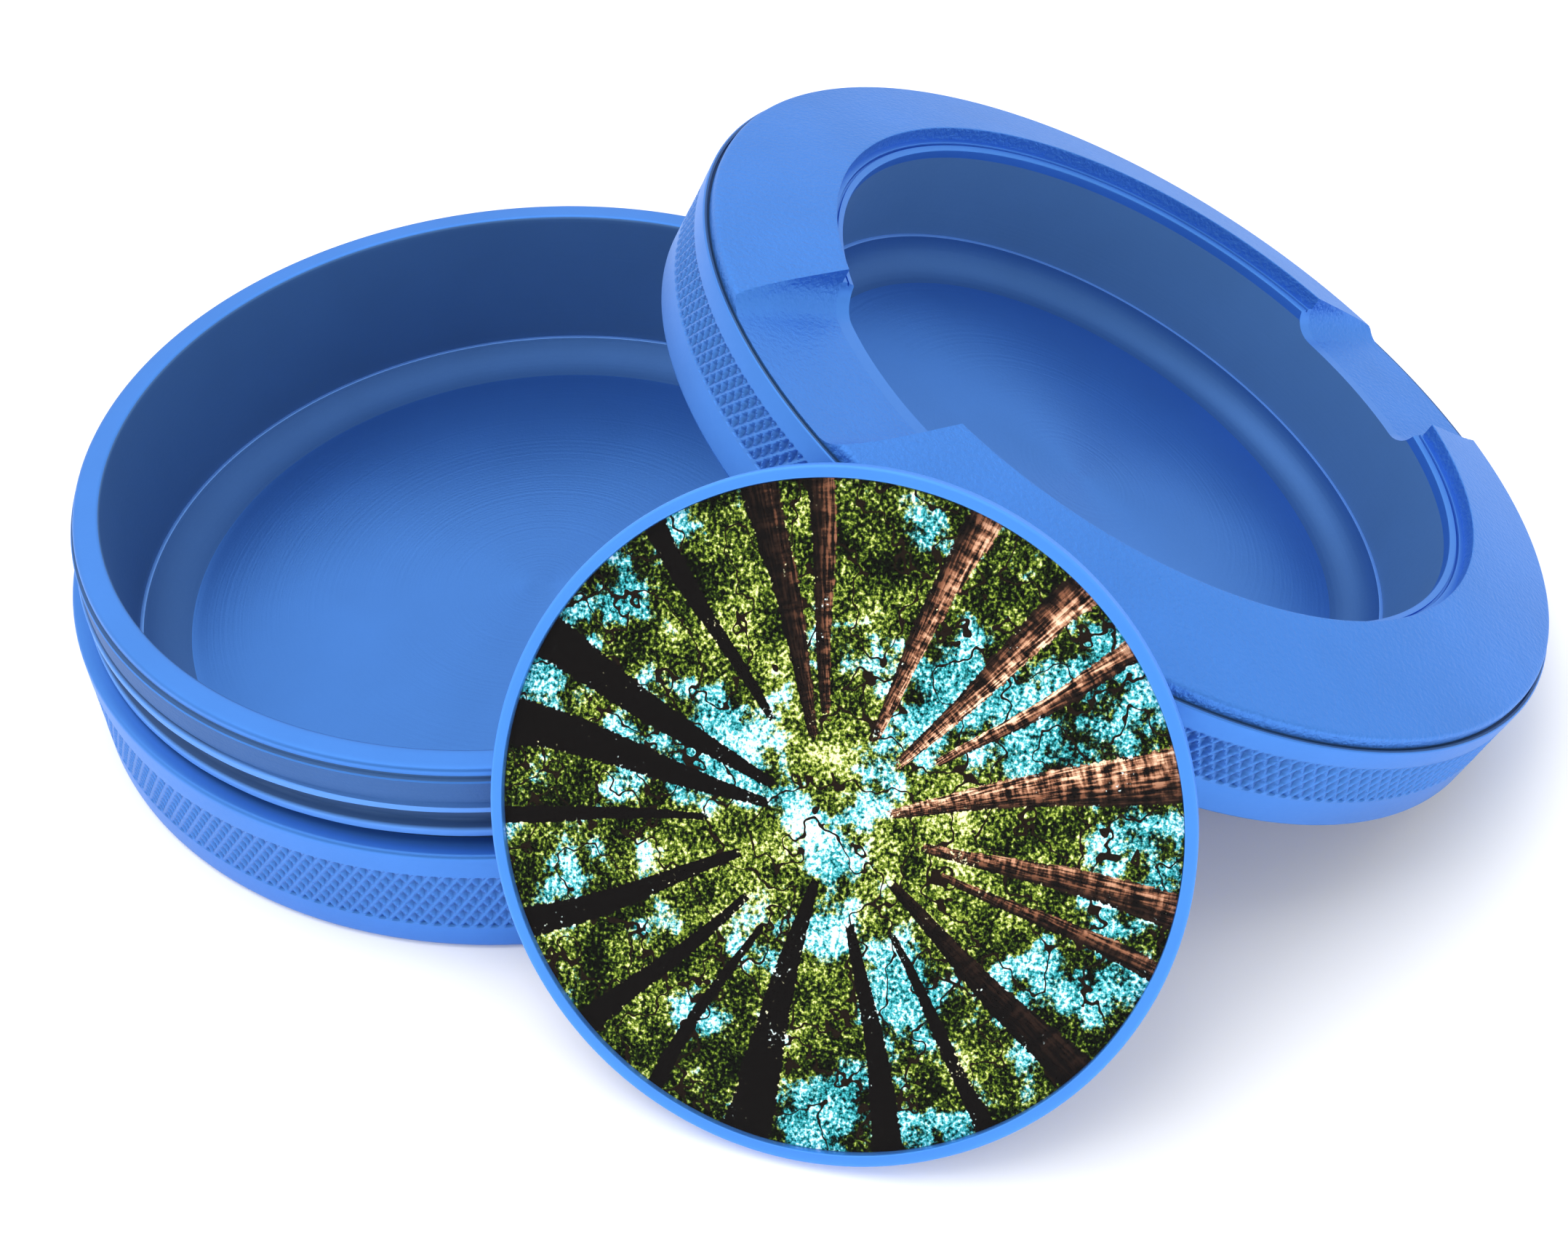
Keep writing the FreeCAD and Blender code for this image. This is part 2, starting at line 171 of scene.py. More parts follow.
def make_mesh(name, points, triangles, uvs, place, materials, face_material):
    """Puts whole arrays of points, triangles and UVs into a mesh, placed in the frame in metres."""
    origin, directions = place
    placed = (origin + points @ directions) * MM
    mesh = bpy.data.meshes.new(name)
    mesh.vertices.add(len(placed))
    mesh.vertices.foreach_set("co", placed.ravel())
    mesh.loops.add(triangles.size)
    mesh.loops.foreach_set("vertex_index", triangles.ravel().astype(np.int32))
    mesh.polygons.add(len(triangles))
    mesh.polygons.foreach_set("loop_start", np.arange(0, triangles.size, 3, dtype=np.int32))
    mesh.polygons.foreach_set("material_index", face_material.astype(np.int32))
    mesh.polygons.foreach_set("use_smooth", np.ones(len(triangles), bool))
    from_axis = mesh.attributes.new("from_axis", "FLOAT", "POINT")
    from_axis.data.foreach_set("value", np.hypot(points[:, 0], points[:, 1]).astype(np.float32))
    layer = mesh.uv_layers.new(name="Turned")
    layer.data.foreach_set("uv", uvs.reshape(-1).astype(np.float32))
    mesh.update(calc_edges=True)
    mesh.validate()
    mesh.set_sharp_from_angle(angle=math.radians(32))
    for material in materials:
        mesh.materials.append(material)
    piece = bpy.data.objects.new(name, mesh)
    bpy.context.collection.objects.link(piece)
    print(f"{name}: {len(points)} points, {len(triangles)} triangles")
    return piece


def turned_piece(name, rings, place, materials, closed=False):
    """A piece from rings. Each ring is (points of shape (n, 3), distance along, material number)."""
    counts = [len(ring[0]) for ring in rings]
    starts = np.concatenate([[0], np.cumsum(counts)[:-1]])
    pairs = [(i, i + 1) for i in range(len(rings) - 1)] + ([(len(rings) - 1, 0)] if closed else [])
    triangles, uvs, numbers = [], [], []
    for low, high in pairs:
        faces, uv = ring_faces(counts[low], counts[high], starts[low], starts[high],
                               rings[low][1], rings[high][1])
        triangles.append(faces)
        uvs.append(uv)
        numbers.append(np.full(len(faces), rings[high][2]))
    points = np.concatenate([ring[0] for ring in rings])
    return make_mesh(name, points, np.concatenate(triangles), np.concatenate(uvs), place,
                     materials, np.concatenate(numbers))


def rings_from(radius, height, angle, along, material=0):
    """Rings from grids: point = (radius cos angle, radius sin angle, height). Axis rows are one point."""
    rings = []
    grid = np.stack([radius * np.cos(angle), radius * np.sin(angle), height], axis=2)
    material = np.broadcast_to(material, len(grid))
    for row, distance, number in zip(grid, along, material):
        on_axis = np.hypot(row[0, 0], row[0, 1]) < 1e-9
        rings.append((row[:1] if on_axis else row, distance, int(number)))
    return rings


def lathe_grid(profile, columns):
    """Radius, height and angle grids of a profile turned through a full circle."""
    angle = np.broadcast_to(np.arange(columns) * 2 * np.pi / columns, (len(profile), columns))
    radius = np.broadcast_to(profile[:, :1], angle.shape)
    height = np.broadcast_to(profile[:, 1:], angle.shape)
    return radius.copy(), height.copy(), angle


def distances(profile):
    """Distance along a profile at each of its points."""
    return np.concatenate([[0.0], np.cumsum(np.linalg.norm(np.diff(profile, axis=0), axis=1))])


# %% [markdown]
# ## Node helper and colours
#
# Materials are node graphs. One small function adds a node with its settings and its links. Colours
# are written as the sRGB hex values a person picks, and one function turns them linear.

# %% Node helper
def linear(hex_colour):
    """An sRGB hex colour as linear RGBA."""
    values = np.array([int(hex_colour[i:i + 2], 16) for i in (1, 3, 5)]) / 255
    shown = np.where(values <= 0.04045, values / 12.92, ((values + 0.055) / 1.055) ** 2.4)
    return (*shown.tolist(), 1.0)


def add(tree, kind, inputs=None, **settings):
    """Adds a node. Inputs are values, or sockets to link from."""
    made = tree.nodes.new("ShaderNode" + kind)
    for key, value in settings.items():
        setattr(made, key, value)
    for key, value in (inputs or {}).items():
        if isinstance(value, bpy.types.NodeSocket):
            tree.links.new(value, made.inputs[key])
        else:
            made.inputs[key].default_value = value
    return made


def new_material(name):
    """An empty material with a Principled shader, and the two of them with the node tree."""
    material = bpy.data.materials.new(name)
    material.use_nodes = True
    return material, material.node_tree, material.node_tree.nodes["Principled BSDF"]


def ramp(tree, factor, stops):
    """A colour ramp with stops of (position, hex colour)."""
    made = add(tree, "ValToRGB", {"Fac": factor})
    elements = made.color_ramp.elements
    while len(elements) < len(stops):
        elements.new(0.5)
    for element, (position, colour) in zip(elements, stops):
        element.position = position
        element.color = linear(colour)
    return made.outputs["Color"]


# %% [markdown]
# ## Anodised aluminium
#
# Anodising grows a clear, dyed skin of oxide on the metal, so the colour belongs to a metallic
# reflection: the shader is metallic with a blue base, and satin because the skin is never polished.
# How the metal was cut shows through the skin. A lathe leaves fine rings round the axis, which is a
# bump that changes along the profile only, and it spreads highlights across the rings (anisotropy).
# Bead blasting leaves an even grain of small dents instead.

# %% Anodised finishes and painted light
ANODISED_BLUE = "#4A89DE"


def anodised(name, colour, roughness, turned_depth, grain_depth, grain_size, anisotropy=0.0,
             metallic=0.8, painted_pit_shade_colour=None, pit_radii=None):
    """Blue anodised aluminium. Depths and sizes are in millimetres.

    Pits and thread roots are painted a darker colour, as shade: the pit colour is painted shade.
    pit_radii are the two distances from the axis between which that painted shade turns into the
    full colour.
    """
    material, tree, shader = new_material(name)
    where = add(tree, "TexCoord")
    along = add(tree, "SeparateXYZ", {"Vector": add(tree, "UVMap", uv_map="Turned").outputs["UV"]})
    turned_scale = 1 / (0.35 * UV_ALONG)
    rings = add(tree, "TexNoise", {"W": along.outputs["Y"], "Scale": turned_scale, "Detail": 3.0},
                noise_dimensions="1D")
    grain = add(tree, "TexNoise", {"Vector": where.outputs["Object"], "Detail": 2.0,
                                   "Scale": 1 / (grain_size * MM), "Roughness": 0.6})
    mottle = add(tree, "TexNoise", {"Vector": where.outputs["Object"], "Scale": 1 / (9 * MM)})
    tone = add(tree, "MapRange", {"Value": mottle.outputs["Fac"], "To Min": 0.93, "To Max": 1.07})
    base = linear(colour)
    # Painted shade: towards the axis the colour is ramped darker, down to the pit colour.
    if painted_pit_shade_colour:
        painted_pit_shade_mask = add(tree, "MapRange", {
            "Value": add(tree, "Attribute", attribute_name="from_axis").outputs["Fac"],
            "From Min": pit_radii[0], "From Max": pit_radii[1]})
        base = ramp(tree, painted_pit_shade_mask.outputs["Result"], [(0.0, painted_pit_shade_colour), (1.0, colour)])
    tint = add(tree, "Mix", {"Factor": 1.0, "A": base, "B": tone.outputs["Result"]},
               data_type="RGBA", blend_type="MULTIPLY")
    turned = add(tree, "Bump", {"Height": rings.outputs["Fac"], "Distance": turned_depth * MM})
    blasted = add(tree, "Bump", {"Height": grain.outputs["Fac"], "Distance": grain_depth * MM,
                                 "Normal": turned.outputs["Normal"]})
    dull = add(tree, "MapRange", {"Value": grain.outputs["Fac"], "To Min": roughness - 0.05,
                                  "To Max": roughness + 0.05})
    round_axis = add(tree, "Tangent", direction_type="UV_MAP", uv_map="Turned")
    tree.links.new(tint.outputs["Result"], shader.inputs["Base Color"])
    tree.links.new(dull.outputs["Result"], shader.inputs["Roughness"])
    tree.links.new(blasted.outputs["Normal"], shader.inputs["Normal"])
    tree.links.new(round_axis.outputs["Tangent"], shader.inputs["Tangent"])
    shader.inputs["Metallic"].default_value = metallic
    shader.inputs["Anisotropic"].default_value = anisotropy
    return material


BODY_RADIUS = 45.0
RELIEF_RADIUS = 42.6
KNURL_DEPTH = 0.26
satin_blue = anodised("anodised_satin_turned", ANODISED_BLUE, 0.45, 0.004, 0.004, 0.5)
blasted_blue = anodised("anodised_bead_blasted", ANODISED_BLUE, 0.52, 0.0, 0.14, 0.45)
floor_blue = anodised("anodised_turned_floor", "#4A84D4", 0.42, 0.012, 0.012, 0.3, 0.6)
# The knurl's pits are painted a darker blue, as shade.
knurled_blue = anodised("anodised_knurled_painted_pit_shade", "#4C88DA", 0.45, 0.0, 0.004, 0.5,
                        painted_pit_shade_colour="#3768AE", pit_radii=(BODY_RADIUS - KNURL_DEPTH, BODY_RADIUS - 0.05))
# The thread's roots are painted a darker blue, as shade.
threaded_blue = anodised("anodised_threaded_painted_root_shade", "#5A97EA", 0.5, 0.01, 0.006, 0.3, metallic=0.4,
                         painted_pit_shade_colour="#294C7C", pit_radii=(RELIEF_RADIUS + 0.6, RELIEF_RADIUS + 0.88))
# The deep walls of the bores get a darker, duller blue with less metal sheen: painted shade.
bore_painted_shade_blue = anodised("anodised_bore_painted_shade", "#446EA2", 0.6, 0.01, 0.006, 0.5, metallic=0.2)
# The coves are painted a darker blue, as shade.
cove_painted_shade_blue = anodised("anodised_cove_painted_shade", "#3D6BAA", 0.5, 0.01, 0.008, 0.4, metallic=0.6)
# The step under the jar's rim and the groove beside the lid's flange are painted dark blue, as shade.
groove_painted_shade_blue = anodised("anodised_groove_painted_shade", "#2F5585", 0.65, 0.0, 0.006, 0.5, metallic=0.2)
disc_blue = anodised("anodised_satin_disc", "#4C94F2", 0.5, 0.004, 0.006, 0.4, metallic=0.5)
# The thin ledges where the bores end are painted a lighter blue, as a highlight.
ledge_painted_highlight_blue = anodised("anodised_ledge_painted_highlight", "#6FA8F4", 0.4, 0.0, 0.004, 0.5, metallic=0.6)
collar_blue = anodised("anodised_rough_collar", "#3A67A6", 0.6, 0.03, 0.04, 0.3, metallic=0.5)

# %% [markdown]
# ## Knurling and threads
#
# Knurling is rolled into the metal by two hard wheels with slanting teeth. The two sets of ridges
# cross and leave diamond pits. As a function of the turn round the axis and the height, each set is
# a ridge that repeats along (turn + height) or (turn - height), and the higher of the two is the
# surface. A thread is also a ridge, one that climbs by its pitch in each turn.

# %% Knurl and thread
KNURL_COUNT = 222
FINE = 6
KNURL_RISE = 1.84
RIDGE_HALF = 0.38
THREAD_PITCH = 3.0
THREAD_TURNS = 1.4
THREAD_ROOT = 1.7
THREAD_CREST = 0.6


def knurl_dip(angle, height, low, high):
    """How far the knurl lies below its crests: 0 on a ridge, KNURL_DEPTH in a pit."""
    turn = angle * KNURL_COUNT / (2 * np.pi)
    climb = (height - low) / KNURL_RISE
    ridges = []
    for phase in (turn + climb, turn - climb):
        off_ridge = np.abs(phase - np.round(phase))
        ridges.append(np.clip(1 - off_ridge / RIDGE_HALF, 0, 1))
    ends = np.clip(np.minimum(height - low, high - height) / 0.12, 0, 1)
    return KNURL_DEPTH * (1 - np.maximum(*ridges)) * ends


def knurled_rings(radius, low, high, along, material=0):
    """Fine rings for a knurled band between two heights, at eleven rows to each knurl rise."""
    rows = round((high - low) * 11 / KNURL_RISE)
    height = np.linspace(low, high, rows)
    band = np.stack([np.full(rows, radius), height], axis=1)
    size, level, angle = lathe_grid(band, KNURL_COUNT * FINE)
    size -= knurl_dip(angle, level, low, high)
    return rings_from(size, level, angle, along + height - low, material)


def thread_ridge(angle, height, start):
    """Height of the thread ridge, from 0 to 1, at each point of a turned surface."""
    turn = angle / (2 * np.pi)
    winding = np.round((height - start) / THREAD_PITCH - turn)
    wound = turn + winding
    off_middle = np.abs(height - start - THREAD_PITCH * wound)
    flank = np.clip((THREAD_ROOT / 2 - off_middle) / ((THREAD_ROOT - THREAD_CREST) / 2), 0, 1)
    flank = flank * flank * (3 - 2 * flank)
    ends = np.clip(np.minimum(wound, THREAD_TURNS - wound) / 0.025, 0, 1)
    return flank * ends


# %% [markdown]
# ## Jar
#
# The jar is one turned piece: foot, knurled band, shoulder, neck with its thread and collar, the
# rim, the straight bore, a thin ledge where the bore ends, a cove and a flat floor. Each stretch has
# its own finish, and some carry painted light: the bore, the cove, the step under the rim and the
# thread's roots are painted darker, as shade, and the ledge lighter, as a highlight.

# %% Jar sizes
JAR_KNURL = (3.0, 9.9)
SHOULDER = 12.6
COLLAR_RADIUS = 43.2
RIM_RADIUS = 42.8
JAR_HEIGHT = 21.2
BORE_RADIUS = 40.3
JAR_FLOOR = 2.7
JAR_FLOOR_EDGE = 34.75
COVE_TOP = 5.0
THREAD_DEPTH = 0.9
JAR_THREAD_START = 13.3
COLLAR_FOOT = 17.2
COLLAR_LOW = 17.35
COLLAR_TOP = 20.1
RIM_FOOT = 20.2
# Where the stretches after the knurl start in the UV map, in millimetres along the profile.
UPPER_ALONG = 70
INSIDE_ALONG = 130

JAR_FINISHES_AND_PAINTED_LIGHT = [satin_blue, bore_painted_shade_blue, floor_blue, collar_blue, knurled_blue, threaded_blue,
                cove_painted_shade_blue, groove_painted_shade_blue, ledge_painted_highlight_blue]
print("jar height:", JAR_HEIGHT, "wall:", round(RIM_RADIUS - BORE_RADIUS, 2), "mm")

# %% Jar profile
foot = outline([(0, 0), (14, 0), (30, 0), (BODY_RADIUS, 0, 0.8), (BODY_RADIUS, JAR_KNURL[0] - 0.15)])
upper = finer(outline([
    (BODY_RADIUS, JAR_KNURL[1] + 0.15), (BODY_RADIUS, SHOULDER, 0.4), (RELIEF_RADIUS, SHOULDER, 0.15),
    (RELIEF_RADIUS, COLLAR_FOOT), (COLLAR_RADIUS, COLLAR_LOW, 0.12),
    (COLLAR_RADIUS, COLLAR_TOP, 0.25), (RIM_RADIUS, RIM_FOOT),
    (RIM_RADIUS, JAR_HEIGHT, 0.4), (BORE_RADIUS, JAR_HEIGHT, 0.4),
    (BORE_RADIUS, COVE_TOP), (BORE_RADIUS - 0.2, COVE_TOP), (BORE_RADIUS - 0.36, COVE_TOP - 0.06)]), 0.4)


def on_neck(radius, height):
    """Which points are on the outside of the neck, where the thread is."""
    return (height > SHOULDER + 0.01) & (height < COLLAR_TOP - 0.1) & (radius > RELIEF_RADIUS - 0.2)


neck = on_neck(upper[:, 0], upper[:, 1])
floor_part = cove((BORE_RADIUS - 0.35, COVE_TOP), (JAR_FLOOR_EDGE, JAR_FLOOR))
floor_flat = np.stack([np.linspace(JAR_FLOOR_EDGE, 0, 16)[1:], np.full(15, JAR_FLOOR)], axis=1)


def thread_rows(profile, rows, step):
    """The profile with the rows in a threaded stretch spaced closely enough for the ridge."""
    first, last = np.flatnonzero(rows)[[0, -1]]
    return np.vstack([profile[:first], finer(profile[first:last + 1], step), profile[last + 1:]])


upper = thread_rows(upper, neck, 0.12)
print("points on the jar's profile above the knurl:", len(upper))

# %% Jar surface, finishes and painted light
foot_rings = rings_from(*lathe_grid(foot, KNURL_COUNT), distances(foot))
band_rings = knurled_rings(BODY_RADIUS, *JAR_KNURL, distances(foot)[-1],
                           JAR_FINISHES_AND_PAINTED_LIGHT.index(knurled_blue))
radius, height, angle = lathe_grid(upper, KNURL_COUNT)
is_neck = on_neck(radius, height)
thread = RELIEF_RADIUS + THREAD_DEPTH * thread_ridge(angle, height, JAR_THREAD_START)
radius = np.where(is_neck, np.maximum(radius, thread), radius)
in_bore = (upper[:, 0] < BORE_RADIUS + 0.05) & (upper[:, 0] > BORE_RADIUS - 0.05)
on_step = (upper[:, 1] > COLLAR_TOP + 0.02) & (upper[:, 1] < RIM_FOOT + 0.45)
on_step &= upper[:, 0] > RIM_RADIUS - 0.1
on_ledge = (upper[:, 0] < BORE_RADIUS - 0.05) & (upper[:, 1] < COVE_TOP + 0.01)
on_collar = (upper[:, 1] > COLLAR_LOW - 0.05) & (upper[:, 1] < COLLAR_TOP - 0.05)
on_collar &= upper[:, 0] > RIM_RADIUS
# The bore and the step under the rim are painted darker blues, as shade, the thread's roots are painted
# darker, as shade, and the ledge at the bore's foot a lighter blue, as a highlight.
stretches = [(in_bore, bore_painted_shade_blue), (on_step, groove_painted_shade_blue), (on_collar, collar_blue),
             (is_neck.any(axis=1), threaded_blue), (on_ledge, ledge_painted_highlight_blue)]
row_finish_and_painted_light = np.select([rows for rows, _ in stretches],
                   [JAR_FINISHES_AND_PAINTED_LIGHT.index(material) for _, material in stretches],
                   JAR_FINISHES_AND_PAINTED_LIGHT.index(satin_blue))
upper_rings = rings_from(radius, height, angle, distances(upper) + UPPER_ALONG, row_finish_and_painted_light)
# The cove is painted a darker blue, as shade.
inside = np.vstack([floor_part[1:], floor_flat])
inside_rings = rings_from(*lathe_grid(inside, KNURL_COUNT), distances(inside) + INSIDE_ALONG,
                          np.where(inside[:, 1] > JAR_FLOOR + 0.03, JAR_FINISHES_AND_PAINTED_LIGHT.index(cove_painted_shade_blue),
                                   JAR_FINISHES_AND_PAINTED_LIGHT.index(floor_blue)))
jar = turned_piece("jar_turned", foot_rings + band_rings + upper_rings + inside_rings, jar_place,
                   JAR_FINISHES_AND_PAINTED_LIGHT)
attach(jar, "jar")
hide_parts("jar_body")

# %% [markdown]
# ## Lid ring
#
# The ring carries the lid's knurl outside and its thread inside. The tray is pressed into it from
# above. A fine groove beside the tray's flange keeps the joint crisp. Its faces are painted dark
# blue, as shade, so it reads as a dark line.

# %% Lid ring
RING_KNURL = (3.2, 7.6)
RING_HEIGHT = 9.5
SKIRT_RADIUS = 44.0
RING_THREAD_CREST = 43.35
RING_THREAD_START = 1.6
SEAM_RADIUS = 44.4
# Where the ring's stretches start in the UV map, in millimetres along the profile.
RING_BAND_ALONG = 5.0
RING_TOP_ALONG = 10
RING_INSIDE_ALONG = 14
RING_FINISHES_AND_PAINTED_SHADE = [satin_blue, knurled_blue, groove_painted_shade_blue]

ring_low = outline([(SKIRT_RADIUS, 0), (BODY_RADIUS, 0, 0.3), (BODY_RADIUS, RING_KNURL[0] - 0.15)])
ring_high = outline([
    (BODY_RADIUS, RING_KNURL[1] + 0.15), (BODY_RADIUS, RING_HEIGHT, 0.15),
    (SEAM_RADIUS + 0.22, RING_HEIGHT, 0.05), (SEAM_RADIUS + 0.2, RING_HEIGHT - 0.3),
    (SEAM_RADIUS - 0.02, RING_HEIGHT - 0.3), (SEAM_RADIUS - 0.02, RING_HEIGHT - 0.01),
    (SKIRT_RADIUS, RING_HEIGHT - 0.01)])
ring_inside = finer(np.array([[SKIRT_RADIUS, RING_HEIGHT - 0.2], [SKIRT_RADIUS, 0.15]]), 0.14)
radius, height, angle = lathe_grid(ring_inside, KNURL_COUNT)
depth = SKIRT_RADIUS - RING_THREAD_CREST
radius -= depth * thread_ridge(angle, height, RING_THREAD_START)
ring_rings = (rings_from(*lathe_grid(ring_low, KNURL_COUNT), distances(ring_low))
              + knurled_rings(BODY_RADIUS, *RING_KNURL, RING_BAND_ALONG,
                              RING_FINISHES_AND_PAINTED_SHADE.index(knurled_blue))
              + rings_from(*lathe_grid(ring_high, KNURL_COUNT), distances(ring_high) + RING_TOP_ALONG,
                           # The groove beside the flange is painted dark blue, as shade.
                           np.where(ring_high[:, 0] < SEAM_RADIUS + 0.3,
                                    RING_FINISHES_AND_PAINTED_SHADE.index(groove_painted_shade_blue),
                                    RING_FINISHES_AND_PAINTED_SHADE.index(satin_blue)))
              + rings_from(radius, height, angle, distances(ring_inside) + RING_INSIDE_ALONG))
ring = turned_piece("lid_ring_turned", ring_rings, lid_place, RING_FINISHES_AND_PAINTED_SHADE, closed=True)
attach(ring, "lid")
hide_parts("lid_ring")

# %% [markdown]
# ## Lid tray
#
# The tray is turned, and then a round-nosed cutter takes the same U-shaped slot straight across it,
# which leaves two opposite notches. In the mesh the slot is a height that depends only on the
# distance from the slot's middle line, and the surface is the lower of the turned height and the
# slot. The columns of the mesh follow the slot's edges, so that those edges stay straight.

# %% Tray profile
TRAY_DROP = 4.6
TRAY_BORE = 32.4
TRAY_WALL = 34.2
FLANGE_RADIUS = 44.4
FLANGE_EDGE = 10.6
FLANGE_INNER = 13.4
MOUTH_RADIUS = 33.8
MOUTH_LEVEL = 12.0
ROOF_LEVEL = 8.7
LIP_LEVEL = 7.3
LIP_BORE = 43.25
SPIGOT_RADIUS = 43.98
TRAY_FLOOR = 2.4 - TRAY_DROP
TRAY_COVE = 3.4
TRAY_COVE_START = TRAY_BORE - 0.35
NOTCH_AZIMUTH = math.radians(25.0)
NOTCH_HALF = 9.6
NOTCH_ROUND = 2.7
NOTCH_LEVEL = 9.6

under = finer(outline([
    (0, -TRAY_DROP), (TRAY_WALL, -TRAY_DROP, 4.2), (TRAY_WALL, ROOF_LEVEL, 0.3),
    (LIP_BORE, ROOF_LEVEL, 0.2), (LIP_BORE, LIP_LEVEL, 0.1), (SPIGOT_RADIUS, LIP_LEVEL, 0.1),
    (SPIGOT_RADIUS, RING_HEIGHT), (FLANGE_RADIUS, RING_HEIGHT)]), 3.0)
flange_top = finer(outline([
    (FLANGE_RADIUS, RING_HEIGHT + 0.02), (FLANGE_RADIUS, FLANGE_EDGE, 0.45),
    (MOUTH_RADIUS, FLANGE_INNER, 0.08), (MOUTH_RADIUS, MOUTH_LEVEL)]), 0.32)
mouth = outline([
    (MOUTH_RADIUS - 0.02, MOUTH_LEVEL), (MOUTH_RADIUS - 0.55, MOUTH_LEVEL, 0.05),
    (MOUTH_RADIUS - 0.6, MOUTH_LEVEL - 0.35), (MOUTH_RADIUS - 0.78, MOUTH_LEVEL - 0.35),
    (MOUTH_RADIUS - 0.8, MOUTH_LEVEL - 0.1, 0.04), (TRAY_BORE, MOUTH_LEVEL - 0.3, 0.12),
    (TRAY_BORE, MOUTH_LEVEL - 1.2)])
bowl_wall = finer(np.array([
    [TRAY_BORE, MOUTH_LEVEL - 1.5], [TRAY_BORE, TRAY_FLOOR + TRAY_COVE],
    [TRAY_COVE_START + 0.14, TRAY_FLOOR + TRAY_COVE],
    [TRAY_COVE_START - 0.01, TRAY_FLOOR + TRAY_COVE - 0.06]]), 0.5)
bowl_cove = cove((TRAY_COVE_START, TRAY_FLOOR + TRAY_COVE), (TRAY_COVE_START - TRAY_COVE, TRAY_FLOOR))
bowl_floor = np.stack([np.linspace(bowl_cove[-1, 0], 0, 14)[1:], np.full(13, TRAY_FLOOR)], axis=1)
tray_profile = np.vstack([under, flange_top, mouth, bowl_wall, bowl_cove[1:], bowl_floor])
print("points on the tray's profile:", len(tray_profile))

# %% Columns that follow the notches
def tray_angles(radius):
    """Angles of the columns at each radius: close together in the notches, and following their edges.

    Across a notch a column keeps its distance from the slot's middle line, so its angle is the
    arcsine of that distance over the radius. Between the notches the columns share out the rest.
    """
    held = np.clip(radius, TRAY_BORE, FLANGE_RADIUS)[:, None]
    flat = NOTCH_HALF - NOTCH_ROUND
    curve = flat + NOTCH_ROUND * np.sin(np.linspace(0, math.pi / 2, 13))[1:]
    side = np.concatenate([np.linspace(0, flat, 9)[1:], curve, [NOTCH_HALF + 0.02]])
    across = np.concatenate([-side[::-1], [0.0], side])
    notch = np.arcsin(across / held)
    between = np.linspace(0, 1, 122)[1:-1]
    gap = notch[:, -1:] + (math.pi - 2 * notch[:, -1:]) * between
    half_turn = np.concatenate([notch, gap], axis=1)
    return np.concatenate([half_turn, half_turn + math.pi], axis=1)


def notch_height(across):
    """Height of the slot at a distance from its middle line: flat, then an arc, then out of reach."""
    past_flat = np.clip(np.abs(across) - (NOTCH_HALF - NOTCH_ROUND), 0, NOTCH_ROUND)
    curve = NOTCH_LEVEL + NOTCH_ROUND - np.sqrt(NOTCH_ROUND ** 2 - past_flat ** 2)
    return np.where(np.abs(across) < NOTCH_HALF + 0.01, curve, FLANGE_INNER + 1)


def cut_surface(profile):
    """Radius, height and angle grids of the tray's profile with the slot taken out of it."""
    angle = tray_angles(profile[:, 0])
    radius = np.broadcast_to(profile[:, :1], angle.shape).copy()
    height = np.broadcast_to(profile[:, 1:], angle.shape)
    slot = notch_height(np.maximum(radius, TRAY_BORE) * np.sin(angle))
    return radius, np.minimum(height, slot), angle


# %% Tray surface, finishes and painted light
radius, height, angle = cut_surface(tray_profile)
TRAY_FINISHES_AND_PAINTED_LIGHT = [satin_blue, blasted_blue, bore_painted_shade_blue, floor_blue, cove_painted_shade_blue, ledge_painted_highlight_blue]
# The bowl's wall and cove are painted darker blues, as shade, and the ledge between them a lighter blue,
# as a highlight.
stretches = [(len(under), satin_blue), (len(flange_top), blasted_blue), (len(mouth), satin_blue),
             (len(bowl_wall) - 2, bore_painted_shade_blue), (2, ledge_painted_highlight_blue), (len(bowl_cove) - 1, cove_painted_shade_blue),
             (len(bowl_floor), floor_blue)]
row_finish_and_painted_light = np.concatenate([np.full(rows, TRAY_FINISHES_AND_PAINTED_LIGHT.index(material)) for rows, material in stretches])
tray_rings = rings_from(radius, height, angle + NOTCH_AZIMUTH, distances(tray_profile), row_finish_and_painted_light)
tray = turned_piece("lid_tray_turned", tray_rings, lid_place, TRAY_FINISHES_AND_PAINTED_LIGHT)
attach(tray, "lid")
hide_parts("lid_tray")

# %% [markdown]
# ## Gasket
#
# A flat ring of silicone sits in the lid's roof and seals on the jar's rim. Silicone is matte, a
# little soft at its edges, and takes a fine bloom of dust, which is a faint change in roughness.

# %% Gasket
def silicone():
    """Moulded silicone rubber, dark blue: dielectric, rough, with a slight bloom."""
    material, tree, shader = new_material("silicone_moulded")
    where = add(tree, "TexCoord")
    bloom = add(tree, "TexNoise", {"Vector": where.outputs["Object"], "Scale": 1 / (1.5 * MM)})
    dull = add(tree, "MapRange", {"Value": bloom.outputs["Fac"], "To Min": 0.55, "To Max": 0.75})
    colour = ramp(tree, bloom.outputs["Fac"], [(0.3, "#1E3A66"), (0.7, "#294C80")])
    tree.links.new(dull.outputs["Result"], shader.inputs["Roughness"])
    tree.links.new(colour, shader.inputs["Base Color"])
    return material


